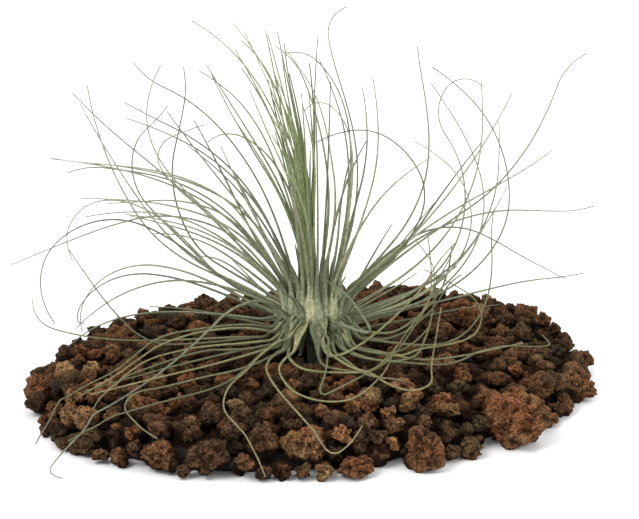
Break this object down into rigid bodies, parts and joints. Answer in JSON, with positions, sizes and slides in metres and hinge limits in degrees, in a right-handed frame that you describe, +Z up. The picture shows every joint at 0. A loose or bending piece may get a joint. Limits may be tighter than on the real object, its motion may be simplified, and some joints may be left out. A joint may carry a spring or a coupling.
{
  "type": "air plant on lava gravel",
  "caption": "Thread-leaved air plant with a silvery arching rosette and a green heart, standing in a low mound of loose red-brown lava gravel.",
  "frame": {"origin": "middle of the gravel mound's flat underside, under the plant's stem", "axes": "+Z up through the plant; +X to the right and -Y towards the viewer of the picture"},
  "size_m": [0.2336, 0.2028, 0.1532],
  "materials": {
    "lava_rust": "porous matte scoria, rust brown with dark pits",
    "lava_ochre": "porous matte scoria, tan to ochre",
    "lava_dark": "porous matte scoria, dark grey brown",
    "leaf_silver": "matte grey-green leaf with a silvery fuzz of scales",
    "leaf_green": "soft satin, fresh light green young leaf",
    "leaf_olive": "matte yellow-olive older leaf"
  },
  "bodies": {
    "root": {"gravel-bed": "lava_rust", "lava-stone-01": "lava_rust", "lava-stone-02": "lava_ochre", "lava-stone-03": "lava_dark", "lava-stone-04": "lava_rust", "lava-stone-05": "lava_ochre", "lava-stone-06": "lava_dark", "lava-stone-07": "lava_rust", "lava-stone-08": "lava_ochre", "lava-stone-09": "lava_dark", "lava-stone-10": "lava_rust", "lava-stone-11": "lava_ochre", "lava-stone-12": "lava_dark", "lava-stone-13": "lava_rust", "lava-stone-14": "lava_ochre", "lava-stone-15": "lava_dark", "lava-stone-16": "lava_rust", "rosette": "leaf_silver", "heart-leaves": "leaf_green", "low-leaves": "leaf_olive"}
  },
  "joints": []
}
